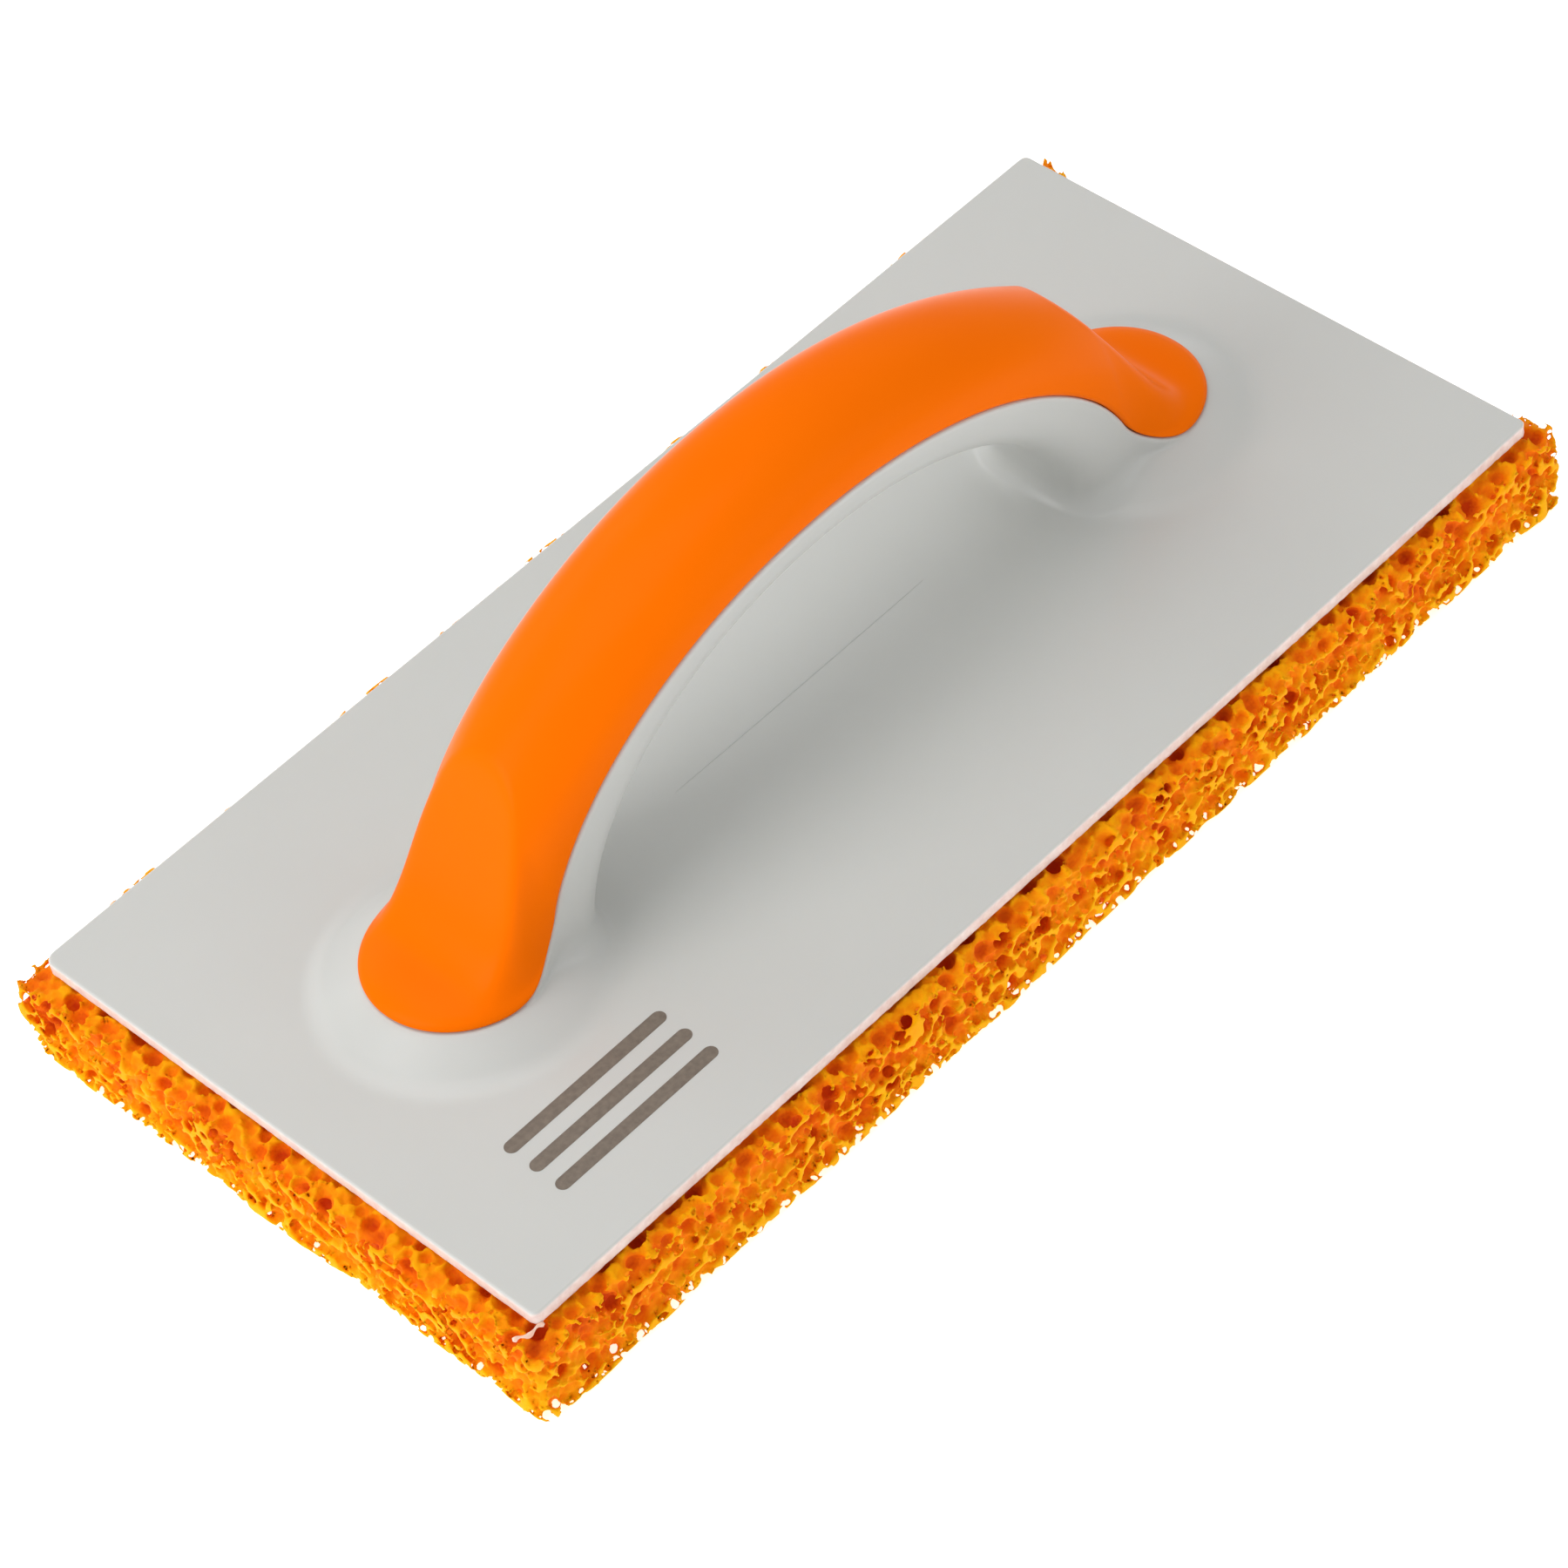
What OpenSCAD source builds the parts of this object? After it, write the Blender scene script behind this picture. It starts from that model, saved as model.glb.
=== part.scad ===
// Sponge grout float: open-cell pad under a moulded plate with an arched two-piece handle.
// Frame: origin under the middle of the pad's working face, X along the float, Z up.

/* [Plate] */
// Length of the plate
plate_l = 270; // [240:1:330]
// Width of the plate
plate_w = 130; // [100:1:170]
// Thickness of the plate
plate_t = 3; // [2.5:0.1:4]
// Radius of the plate's corners in plan
plate_corner_r = 1.6; // [1:0.1:6]

/* [Sponge pad] */
// Thickness of the sponge
sponge_t = 19.6; // [12:0.1:32]
// How far the sponge stands out past each end of the plate
sponge_past_end = 5; // [0:0.5:10]
// How far the sponge stands out past each long side of the plate
sponge_past_side = 3.5; // [0:0.5:10]
// Radius of the sponge's corners in plan
sponge_corner_r = 4; // [1:0.5:10]
// Thickness of the glue between the plate and the sponge
glue_t = 0.4; // [0.2:0.1:1]
// Distance the glue stays back from the plate's edge
glue_inset = 1.5; // [0.5:0.5:5]

/* [Handle] */
// Distance from the middle of the float to the centre of each foot
foot_x = 88.5; // [72:0.5:98]
// Radius of the rounded toe on each foot, in plan
toe_r = 18.9; // [17:0.1:23]
// Height of the toe's rim above the plate
toe_h = 5.3; // [4.4:0.1:7]
// Width of the grip at the seam between the cover and the arch
grip_w = 30.8; // [25:0.1:35]
// Height of the seam above the plate at mid length
seam_h = 55.5; // [50:0.1:66]
// Height of the cover above the seam at mid length
cover_h = 11.5; // [9.5:0.1:14]
// Depth of the arch below the seam at mid length
arch_depth = 10.4; // [8.5:0.1:13]
// Radius of the cover's crown line, seen from the side
crown_r = 129; // [107:1:155]
// Height of the toe's dome above its rim
toe_dome_h = 4.6; // [3.8:0.1:6]
// Angle of the flat facet on each end of the cover, from the plate
facet_angle = 62; // [55:1:68]
// Roundness of the cover's section, where 2 is an ellipse
cover_round = 2.2; // [2:0.05:3]
// Width of the blend where the facet runs into the toe
toe_blend = 9; // [2:0.5:12]
// Roundness of the arch's belly at mid length, where 2 is an ellipse
belly_round = 3; // [2:0.5:4]
// Roundness of the arch's belly where it enters a foot
heel_round = 8; // [5:0.5:10]

/* [Handle places] */
// How far inside each foot's centre the seam's ellipse would meet the plate
seam_inset = 8.5; // [7:0.5:10]
// How far inside each foot's centre the seam leaves that ellipse
leave_inset = 12; // [11:0.5:14]
// How far inside each foot's centre the arch's underside meets the plate
arch_inset = 24; // [22:0.5:27]
// How far past each foot's centre the grip reaches the toe's full width
widen_past = 5; // [3:0.5:8]
// How far past each foot's centre the facet would meet the toe's rim
facet_past = 5.2; // [3:0.1:7]
// How far inside each foot's centre its screw stands
screw_inset = 8.5; // [6:0.5:10]

/* [Foot flare] */
// Run of the flare onto the plate beyond the toe
flare_out = 10.5; // [6:0.1:15]
// Run of the flare onto the plate at each side of the toe
flare_side = 10.5; // [5:0.1:13]
// Run of the flare onto the plate under the arch
flare_in = 4; // [2:0.1:6]

/* [Walls and fits] */
// Wall of the cover
cover_wall = 2.6; // [1.8:0.1:3.2]
// Wall of the arch and its feet
arch_wall = 3; // [2:0.1:3.6]
// How far past each foot's centre the cover's hollow reaches
shell_past = 2; // [0:0.5:4]
// Solid length left at each end of the arch's channel
channel_stop = 8; // [6:0.5:12]
// Extra wall at the heel of each foot's hollow
heel_wall = 1.5; // [0.5:0.5:3]
// Extra wall at the nose of each foot's hollow
nose_wall = 5; // [3:0.5:8]
// Gap between the cover's rim and the arch
seam_gap = 0.3; // [0.1:0.05:0.6]
// Clearance over each screw post inside the cover
post_clear = 0.5; // [0.3:0.1:1]
// Radius of the screw posts in the feet
post_r = 3.8; // [3.2:0.1:4.6]
// Radius of the screw bosses in the cover
boss_r = 3.8; // [3.2:0.1:4.6]
// Thickness of the cover's cross ribs
rib_t = 2; // [1.2:0.1:3]

/* [Screws] */
// Radius of the screw's shank
screw_r = 1.6; // [1.2:0.05:2]
// Radius of the screw's head
screw_head_r = 3.6; // [2.8:0.1:4.2]
// Height of the screw's head
screw_head_h = 2.2; // [1.6:0.1:2.4]
// Length that each screw reaches into its boss
screw_bite = 6; // [4:0.5:7]
// Radial clearance of the screw in the foot's hole
screw_clear = 0.4; // [0.2:0.05:0.8]
// Radial clearance of the screw in the boss's pilot hole
pilot_clear = 0.05; // [0.02:0.01:0.1]

/* [Smoothness] */
// Steps along half of the handle
half_steps = 34; // [20:1:44]
// Steps across the handle's section
section_steps = 20; // [12:2:28]
// Steps up the foot's flare
flare_steps = 8; // [6:1:12]
// Steps along the hollow in each foot
hollow_steps = 14; // [8:1:20]

/* [Hidden] */
$fn = 64;

// Overlap that makes joined solids meet and cuts run clear, and the smallest thickness
deep = 1;
sliver = 0.1;

// Levels
glue_z = sponge_t;
plate_z = glue_z + glue_t;
plate_top = plate_z + plate_t;

// Outline of the arch, all heights measured from the plate's top
crown_h = seam_h + cover_h;
seam_a = foot_x - seam_inset;
leave_x = foot_x - leave_inset;
widen_end_x = foot_x + widen_past;
arch_a = foot_x - arch_inset;
arch_h = seam_h - arch_depth;
foot_back = foot_x - arch_a;
tip_x = foot_x + toe_r - sliver;
facet_foot_x = foot_x + facet_past;
shell_end_x = foot_x + shell_past;

// The seam leaves its ellipse tangentially and lands level on the toe
leave_z = seam_h * sqrt(1 - pow(leave_x / seam_a, 2));
leave_angle = atan(pow(seam_h / seam_a, 2) * leave_x / leave_z);
land_r = (leave_z - toe_h) / (1 - cos(leave_angle));
land_x = leave_x + land_r * sin(leave_angle);

// Screws
screw_x = foot_x - screw_inset;
post_top = min(seam_z(screw_x - post_r), facet_z(screw_x + post_r, cover_wall) - post_clear);
seat_z = toe_h - arch_wall;
screw_tip = post_top + screw_bite;

function unit(t) = min(1, max(0, t));
function smooth(t) = unit(t) * unit(t) * (3 - 2 * unit(t));
function mix(a, b, t) = a + (b - a) * t;
function bow(v, n) = pow(max(0, v), 2 / n);
function soft_max(a, b, k) = max(a, b) + pow(max(k - abs(a - b), 0), 2) / (4 * k);

// Height and half-width of the seam at a distance x from the middle
function landing(x) = toe_h + land_r - sqrt(max(0, pow(land_r, 2) - pow(land_x - x, 2)));
function seam_curve(x) = x < leave_x ? seam_h * sqrt(1 - pow(x / seam_a, 2)) : landing(min(x, land_x));
function seam_z(x) = seam_curve(abs(x));
function toe_y(x) = sqrt(max(0, pow(toe_r, 2) - pow(max(0, abs(x) - foot_x), 2)));
function flare_y(x) = mix(grip_w / 2, toe_r, smooth((abs(x) - leave_x) / (widen_end_x - leave_x)));
function seam_y(x) = min(toe_y(x), flare_y(x));

// Height of the cover's crown, its end facet and its toe, less an inner wall
function crown_z(x, wall) = crown_h - crown_r + sqrt(pow(crown_r - wall, 2) - x * x);
function facet_z(x, wall) = toe_h + (facet_foot_x - abs(x)) * tan(facet_angle) - wall / cos(facet_angle);
function dome_z(x, wall) = toe_h - wall + toe_dome_h * sqrt(1 - pow(unit((abs(x) - foot_x) / toe_r), 2));
function rise(y, half_w) = pow(1 - pow(unit(abs(y) / half_w), cover_round), 1 / cover_round);
function over(base, top, part) = base + max(0, top - base) * part;
function cover_z(x, y, wall) =
    let (base = seam_z(x),
         spread = rise(y, seam_y(x) - wall),
         body = min(over(base, crown_z(x, wall), spread), facet_z(x, wall)),
         toe = over(base, dome_z(x, wall), spread))
    abs(x) < leave_x ? body : max(base, soft_max(body, toe, toe_blend * unit(2 * spread) + sliver / 10));

// Underside of the arch; past its ends it runs down into the plate
function under_z(x, wall) =
    let (a = arch_a - wall, h = arch_h + wall)
    abs(x) < a ? h * sqrt(1 - pow(x / a, 2)) : -deep;
function arch_round(x) = mix(belly_round, heel_round, smooth((abs(x) - arch_a) / leave_inset + 1));

// Stations from one end to the other, closer together at the feet
crowding = 0.12;
function station(t, end) = end * sin(90 * t) * mix(1, abs(t), crowding);
function stations(end) = [for (i = [-half_steps : half_steps]) station(i / half_steps, end)];

// A closed solid through a list of rings that have the same number of points
module skin(rings) {
    n = len(rings[0]);
    last = len(rings) - 1;
    sides = [
        for (i = [0 : last - 1], j = [0 : n - 1], half = [0, 1])
            let (a = i * n + j, b = i * n + (j + 1) % n)
            half == 0 ? [a, b, b + n] : [a, b + n, a + n]
    ];
    start = [for (j = [n - 1 : -1 : 0]) j];
    end = [for (j = [0 : n - 1]) last * n + j];
    polyhedron([for (ring = rings) each ring], concat(sides, [start], [end]));
}

// Plan outline with true round corners
module round_slab(l, w, h, r) {
    translate([-l / 2 + r, -w / 2, 0])
        cube([l - 2 * r, w, h]);
    translate([-l / 2, -w / 2 + r, 0])
        cube([l, w - 2 * r, h]);
    for (sx = [-1, 1], sy = [-1, 1])
        translate([sx * (l / 2 - r), sy * (w / 2 - r), 0])
            cylinder(r = r, h = h);
}

// One ring of the cover at x: over the top from side to side, then closed below
function cover_ring(x, wall, drop) = [
    for (j = [section_steps : -1 : 0])
        let (y = cos(180 * j / section_steps) * (seam_y(x) - wall),
             low = j % section_steps == 0 ? drop : 0)
        [x, y, cover_z(x, y, wall) - low]
];

module cover_outer() {
    translate([0, 0, seam_gap])
        skin([for (x = stations(tip_x)) cover_ring(x, 0, 0)]);
}

module cover_inner() {
    translate([0, 0, seam_gap])
        skin([for (x = stations(shell_end_x)) cover_ring(x, cover_wall, deep)]);
}

// One ring of the arch at x: flat on top at the seam, rounded below
function arch_ring(x) =
    let (top = seam_z(x), depth = top - under_z(x, 0), n = arch_round(x))
    [
        for (j = [0 : section_steps])
            let (a = 180 * j / section_steps)
            [x, sign(cos(a)) * bow(abs(cos(a)), n) * seam_y(x), top - depth * bow(sin(a), n)]
    ];

// A plain four-cornered ring for the hollows, narrower at its bottom by the taper
function box_ring(x, half_w, low, high, taper) =
    [[x, half_w, high], [x, half_w - taper, low], [x, taper - half_w, low], [x, -half_w, high]];

module arch_beam() {
    skin([for (x = stations(foot_x + nose_wall)) arch_ring(x)]);
}

// Channel along the top of the arch, which the cover closes
module arch_channel() {
    end = arch_a - channel_stop;
    skin([
        for (x = stations(end))
            box_ring(x, grip_w / 2 - arch_wall, under_z(x, arch_wall / 2) + arch_wall, seam_z(x) + deep, arch_wall)
    ]);
}

// One ring of the flare at height z, around the foot's centre
function flare_ring(z) =
    let (t = unit(z / toe_h), run = 1 - sqrt(1 - pow(1 - t, 2)),
         out = toe_r + flare_out * run, back = foot_back + flare_in * run, side = toe_r + flare_side * run)
    [
        for (a = [350 : -10 : 0])
            let (x = (cos(a) > 0 ? out : back) * cos(a),
                 most = cos(a) > 0 ? side : mix(seam_y(foot_x + x), side, run))
            [x, sign(sin(a)) * min(abs(side * sin(a)), most), z]
    ];

module foot_flare() {
    levels = [for (i = [0 : flare_steps]) toe_h * pow(i / flare_steps, 2)];
    skin([for (z = concat([-deep], levels)) flare_ring(z)]);
}

// Hollow of one foot, open below
module foot_hollow() {
    start = arch_a + arch_wall + heel_wall;
    end = foot_x + toe_r - arch_wall - nose_wall;
    skin([
        for (i = [0 : hollow_steps])
            let (x = mix(start, end, i / hollow_steps))
            box_ring(x, seam_y(x) - arch_wall, -plate_t - deep, seam_z(x + arch_wall) - arch_wall, 0)
    ]);
}

module both_feet() {
    children();
    mirror([1, 0, 0])
        children();
}

module sponge_pad() {
    color("orange")
        round_slab(plate_l + 2 * sponge_past_end, plate_w + 2 * sponge_past_side, sponge_t, sponge_corner_r);
}

module glue_layer() {
    color("mistyrose")
        translate([0, 0, glue_z])
            round_slab(plate_l - 2 * glue_inset, plate_w - 2 * glue_inset, glue_t, plate_corner_r);
}

module base_plate() {
    color("gainsboro")
        difference() {
            union() {
                difference() {
                    union() {
                        translate([0, 0, plate_z])
                            round_slab(plate_l, plate_w, plate_t, plate_corner_r);
                        translate([0, 0, plate_top])
                            arch_beam();
                        both_feet()
                            translate([foot_x, 0, plate_top])
                                foot_flare();
                    }
                    translate([0, 0, plate_top])
                        arch_channel();
                    both_feet()
                        translate([0, 0, plate_top])
                            foot_hollow();
                }
                both_feet()
                    translate([screw_x, 0, plate_top + seat_z])
                        cylinder(r = post_r, h = post_top - seat_z);
            }
            both_feet()
                translate([screw_x, 0, plate_top + seat_z - deep])
                    cylinder(r = screw_r + screw_clear, h = post_top - seat_z + 2 * deep);
        }
}

module handle_cover() {
    color("darkorange")
        translate([0, 0, plate_top])
            difference() {
                union() {
                    difference() {
                        cover_outer();
                        cover_inner();
                    }
                    intersection() {
                        cover_outer();
                        union() {
                            both_feet()
                                translate([screw_x, 0, post_top])
                                    cylinder(r = boss_r, h = seam_h);
                            for (x = [-1, 0, 1] * arch_a / 2)
                                translate([x - rib_t / 2, -grip_w / 2, seam_z(x) + seam_gap])
                                    cube([rib_t, grip_w, cover_h + toe_r]);
                        }
                    }
                }
                both_feet()
                    translate([screw_x, 0, post_top - deep])
                        cylinder(r = screw_r + pilot_clear, h = screw_bite + 2 * deep);
            }
}

module cover_screws() {
    slot_l = screw_head_r * 1.2;
    slot_w = screw_head_r / 4;
    color("silver")
        both_feet()
            translate([screw_x, 0, plate_top + seat_z])
                difference() {
                    union() {
                        translate([0, 0, -screw_head_h])
                            cylinder(r = screw_head_r, h = screw_head_h);
                        cylinder(r = screw_r, h = screw_tip - seat_z - screw_r);
                        translate([0, 0, screw_tip - seat_z - screw_r])
                            cylinder(r1 = screw_r, r2 = screw_r / 4, h = screw_r);
                    }
                    for (turn = [0, 90])
                        rotate([0, 0, turn])
                            translate([-slot_l / 2, -slot_w / 2, -screw_head_h - deep])
                                cube([slot_l, slot_w, screw_head_h / 2 + deep]);
                }
}

sponge_pad();
glue_layer();
base_plate();
handle_cover();
cover_screws();
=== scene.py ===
import math

import bpy
import numpy as np
from mathutils import Matrix, Vector


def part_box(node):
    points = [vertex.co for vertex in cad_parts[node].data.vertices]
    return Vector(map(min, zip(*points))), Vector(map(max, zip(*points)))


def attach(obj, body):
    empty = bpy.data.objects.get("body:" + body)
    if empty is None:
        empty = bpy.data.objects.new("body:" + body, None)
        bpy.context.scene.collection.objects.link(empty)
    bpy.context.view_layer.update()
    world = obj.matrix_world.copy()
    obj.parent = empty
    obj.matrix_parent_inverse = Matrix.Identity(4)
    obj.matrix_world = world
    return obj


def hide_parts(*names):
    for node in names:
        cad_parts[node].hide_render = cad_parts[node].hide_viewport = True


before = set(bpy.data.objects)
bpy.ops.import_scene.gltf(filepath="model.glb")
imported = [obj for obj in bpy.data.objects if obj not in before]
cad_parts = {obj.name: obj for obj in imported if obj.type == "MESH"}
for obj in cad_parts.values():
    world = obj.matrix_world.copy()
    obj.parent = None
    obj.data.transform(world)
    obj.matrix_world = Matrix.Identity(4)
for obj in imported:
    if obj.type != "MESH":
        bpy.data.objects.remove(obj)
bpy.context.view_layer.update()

rng = np.random.default_rng(7)
MM = 0.001


# ---------------------------------------------------------------- places, from the frame
def box_mm(node):
    low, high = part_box(node)
    return np.array(low) / MM, np.array(high) / MM


base_low, base_high = box_mm("base_plate")
sponge_low, sponge_high = box_mm("sponge_pad")
cover_high = box_mm("handle_cover")[1]

# The cover stands SEAM_GAP above the base, and its tip ends TOE_GAP inside the toe's circle
PLATE_T = 3.0
PLATE_TOP = base_low[2] + PLATE_T
SEAM_GAP = 0.3
TOE_GAP = 0.1
TOE_R = cover_high[1]
FOOT_X = cover_high[0] + TOE_GAP - TOE_R
COVER_H = 11.5
CROWN_H = cover_high[2] - SEAM_GAP - PLATE_TOP
SEAM_H = CROWN_H - COVER_H

# Shape of the handle, as the CAD has it; heights are from the plate's top
TOE_H = 5.3
GRIP_W = 30.8
ARCH_DEPTH = 10.4
CROWN_R = 129.0
TOE_DOME_H = 4.6
FACET_ANGLE = 62.0
COVER_ROUND = 2.2
SEAM_A = FOOT_X - 8.5
LEAVE_INSET = 12.0
LEAVE_X = FOOT_X - LEAVE_INSET
ARCH_A = FOOT_X - 24.0
ARCH_H = SEAM_H - ARCH_DEPTH
FACET_FOOT_X = FOOT_X + 5.2

# The seam leaves its ellipse at LEAVE_X and lands on the toe along an arc
leave_z = SEAM_H * math.sqrt(1 - (LEAVE_X / SEAM_A) ** 2)
leave_angle = math.atan((SEAM_H / SEAM_A) ** 2 * LEAVE_X / leave_z)
LAND_R = (leave_z - TOE_H) / (1 - math.cos(leave_angle))
LAND_X = LEAVE_X + LAND_R * math.sin(leave_angle)

# Widths of the blends between faces, the flare round each foot, and how far the toes are evened out;
# these are set for this mesh, by its looks, and not taken from the CAD
TOE_BLEND = 11.0
FACET_CREASE = 1.4
BELLY_BLEND = 10.0
HEEL_BLEND = 3.0
LID_BLEND = 0.9
SMALL_BLEND = 0.3
LEAST_BLEND = 0.01
FLARE_RUN = 9.3
FLARE_EDGE = 1.5
RIM_ROUND = 0.45
SOFTEN_REACH = 14.0
SOFTEN_ROUNDS = 70

# The toe begins a little before the seam leaves its ellipse; the ridge follows a share of its widening
TOE_START = LEAVE_X - 4.0
TOE_RUN = 8.0
RIDGE_WIDENING = 0.1

# Half sizes of the plate's meshed middle, and of the flat part in it under the arch
MIDDLE_X, MIDDLE_Y = 126.0, 33.5
FLAT_X, FLAT_Y = 57.0, 29.0

# The plate's corners in turn: the side each is on in x and y, and its radius
PLATE_CORNERS = ((1, -1, 1.6), (1, 1, 1.6), (-1, 1, 2.6), (-1, -1, 1.6))
PLATE_EDGE_R = 0.55
PLATE_EDGE_PITCH = 0.9
PLATE_EDGE_WOBBLE = 0.035

# The mould line and the printed bars on the plate
MOULD_LINE_HALF = 34.0
BAR_LENGTH, BAR_WIDTH, BAR_PITCH, BAR_HEIGHT = 40.0, 3.0, 6.5, 0.05
BARS_X = -FOOT_X - 4
BARS_Y = -GRIP_W / 2 - 26.5

# The sponge's block: its size, its grid, its corners and how far its skin stands past the CAD's
SPONGE_X, SPONGE_Y = sponge_high[0], sponge_high[1]
SPONGE_T = sponge_high[2] - sponge_low[2]
SPONGE_STEP = 0.5
SPONGE_MARGIN = 5.0
SPONGE_CORNER_R = 3.0
SPONGE_PROUD = 0.6

# Its +X end and +Y side stand back between their corners
END_INSET, END_INSET_Y = 3.4, 62.0
SIDE_INSET, SIDE_INSET_X = 0.35, 136.0
INSET_RUN = 9.0

# Its waves as height and length, on the whole block and on the working face, and its blends
WAVES = ((0.55, 9.0), (0.35, 3.2))
FACE_WAVE = (0.35, 2.6)
FACE_BLEND = 0.8
TOP_BLEND = 2.5
TOP_RIM = 9.0

# Its cut cells: how far in they go on the top, and how small they stay near an outer edge, so that
# they don't cut through it
PIT_RIM = 7.0
PIT_LEAST_R = 0.6
PIT_GROWTH = 0.29
PIT_MARGIN = 1.3


# ---------------------------------------------------------------- small functions
def unit(t):
    return np.clip(t, 0, 1)


def smooth(t):
    return unit(t) ** 2 * (3 - 2 * unit(t))


def mix(a, b, t):
    return a + (b - a) * t


def root(t):
    return np.sqrt(np.maximum(t, 0))


def soft_max(a, b, k):
    """The larger of two fields, with a blend of width k where they cross."""
    return np.maximum(a, b) + np.maximum(k - np.abs(a - b), 0) ** 2 / (4 * k)


def soft_min(a, b, k):
    return -soft_max(-a, -b, k)


# ---------------------------------------------------------------- the handle's faces
def seam_z(x):
    """Height of the seam between cover and base: an ellipse, then an arc down to the toe."""
    ax = np.abs(x)
    ellipse = SEAM_H * root(1 - (ax / SEAM_A) ** 2)
    landing = TOE_H + LAND_R - root(LAND_R**2 - (LAND_X - np.minimum(ax, LAND_X)) ** 2)
    return np.where(ax < LEAVE_X, ellipse, landing)


def seam_y(x):
    """Half width of the handle: the grip, widening to the round toe."""
    ax = np.abs(x)
    toe = root(TOE_R**2 - np.maximum(0, ax - FOOT_X) ** 2)
    flare = mix(GRIP_W / 2, TOE_R, smooth((ax - LEAVE_X) / (FOOT_X - LEAVE_X)))
    return np.minimum(toe, flare)


def rise(y, half_w):
    """The cover's cross section, from 1 in the middle to 0 at the seam."""
    return (1 - unit(np.abs(y) / half_w) ** COVER_ROUND) ** (1 / COVER_ROUND)


def cover_z(x, y):
    """Height of the cover's outer face: crown and facet, blended into the domed toe."""
    ax = np.abs(x)
    base = seam_z(x)
    crown = CROWN_H - CROWN_R + root(CROWN_R**2 - x**2)
    facet = TOE_H + (FACET_FOOT_X - ax) * math.tan(math.radians(FACET_ANGLE))
    dome = TOE_H + TOE_DOME_H * root(1 - unit((ax - FOOT_X) / TOE_R) ** 2)
    toe_y = np.maximum(seam_y(x), 1e-6)
    ridge = rise(y, mix(GRIP_W / 2, toe_y, RIDGE_WIDENING))
    body = soft_min(base + np.maximum(0, crown - base) * ridge, facet, FACET_CREASE)
    toe = base + np.maximum(0, dome - base) * rise(y, toe_y)
    toeward = smooth((ax - TOE_START) / TOE_RUN)
    width = TOE_BLEND * unit(2 * ridge) * toeward + LEAST_BLEND
    return np.maximum(base, soft_max(body, toe, width))


def soften_toes(rise_z, x):
    """Evens out the height above the seam towards the ends, where the real mould has no crease."""
    amount = 0.5 * smooth((np.abs(x[1:-1, 1:-1]) - FOOT_X + SOFTEN_REACH) / SOFTEN_REACH)
    for _ in range(SOFTEN_ROUNDS):
        beside = rise_z[2:, 1:-1] + rise_z[:-2, 1:-1] + rise_z[1:-1, 2:] + rise_z[1:-1, :-2]
        rise_z[1:-1, 1:-1] += amount * (beside / 4 - rise_z[1:-1, 1:-1])
    return rise_z


# ---------------------------------------------------------------- meshes
def make_object(name, points, quads, loops=()):
    """An object from points in mm, smooth quads and a few flat many-sided faces, and the points it uses."""
    faces = [tuple(loop) for loop in loops]
    sizes = np.concatenate([np.full(len(quads), 4), [len(f) for f in faces]]).astype(np.int32)
    corners = np.concatenate([np.asarray(quads).ravel(), *[np.array(f) for f in faces]]).astype(np.int32)
    used, corners = np.unique(corners, return_inverse=True)
    points = np.asarray(points)[used] * MM
    starts = np.concatenate([[0], np.cumsum(sizes)[:-1]]).astype(np.int32)
    mesh = bpy.data.meshes.new(name)
    mesh.vertices.add(len(points))
    mesh.vertices.foreach_set("co", points.astype(np.float32).ravel())
    mesh.loops.add(len(corners))
    mesh.loops.foreach_set("vertex_index", corners.astype(np.int32).ravel())
    mesh.polygons.add(len(sizes))
    mesh.polygons.foreach_set("loop_start", starts)
    mesh.polygons.foreach_set("use_smooth", np.arange(len(sizes)) < len(quads))
    mesh.update(calc_edges=True)
    mesh.validate()
    obj = bpy.data.objects.new(name, mesh)
    bpy.context.scene.collection.objects.link(obj)
    return obj, used


def net_points(field, cells):
    """In each cell, the middle of the places where the cell's edges cross the field's zero."""
    total = np.zeros((len(cells), 3))
    hits = np.zeros(len(cells))
    for along in np.eye(3, dtype=int):
        for i, j in np.ndindex(2, 2):
            start = cells + i * np.roll(along, 1) + j * np.roll(along, 2)
            a = field[tuple(start.T)].astype(float)
            b = field[tuple((start + along).T)].astype(float)
            cross = (a < 0) != (b < 0)
            part = np.where(cross, a / np.where(cross, a - b, 1), 0)
            total += cross[:, None] * (start + part[:, None] * along)
            hits += cross
    return total / hits[:, None]


def net_quads(inside, index):
    """One quad round each grid edge that crosses the surface, facing outwards."""
    quads = []
    for axis, along in enumerate(np.eye(3, dtype=int)):
        u, v = np.roll(along, 1), np.roll(along, 2)
        ahead = [slice(1, -1)] * 3
        ahead[axis] = slice(1, None)
        here = [slice(1, -1)] * 3
        here[axis] = slice(0, -1)
        low, high = inside[tuple(here)], inside[tuple(ahead)]
        crossed = np.argwhere(low != high)
        edges = crossed + u + v
        quad = np.stack([index[tuple((edges - s).T)] for s in (0 * u, u, u + v, v)], 1)
        outward = low[tuple(crossed.T)]
        quads.append(np.where(outward[:, None], quad, quad[:, ::-1]))
    return np.concatenate(quads)


def surface_nets(field, origin, step):
    """Points and quads of the field's zero surface: one point in each cell that it crosses."""
    inside = field < 0
    nx, ny, nz = field.shape
    count = np.zeros((nx - 1, ny - 1, nz - 1), np.uint8)
    for i, j, k in np.ndindex(2, 2, 2):
        count += inside[i:nx - 1 + i, j:ny - 1 + j, k:nz - 1 + k]
    active = (count > 0) & (count < 8)
    cells = np.argwhere(active)
    index = np.full(active.shape, -1, np.int32)
    index[active] = np.arange(len(cells))
    return np.asarray(origin) + step * net_points(field, cells), net_quads(inside, index)


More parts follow.
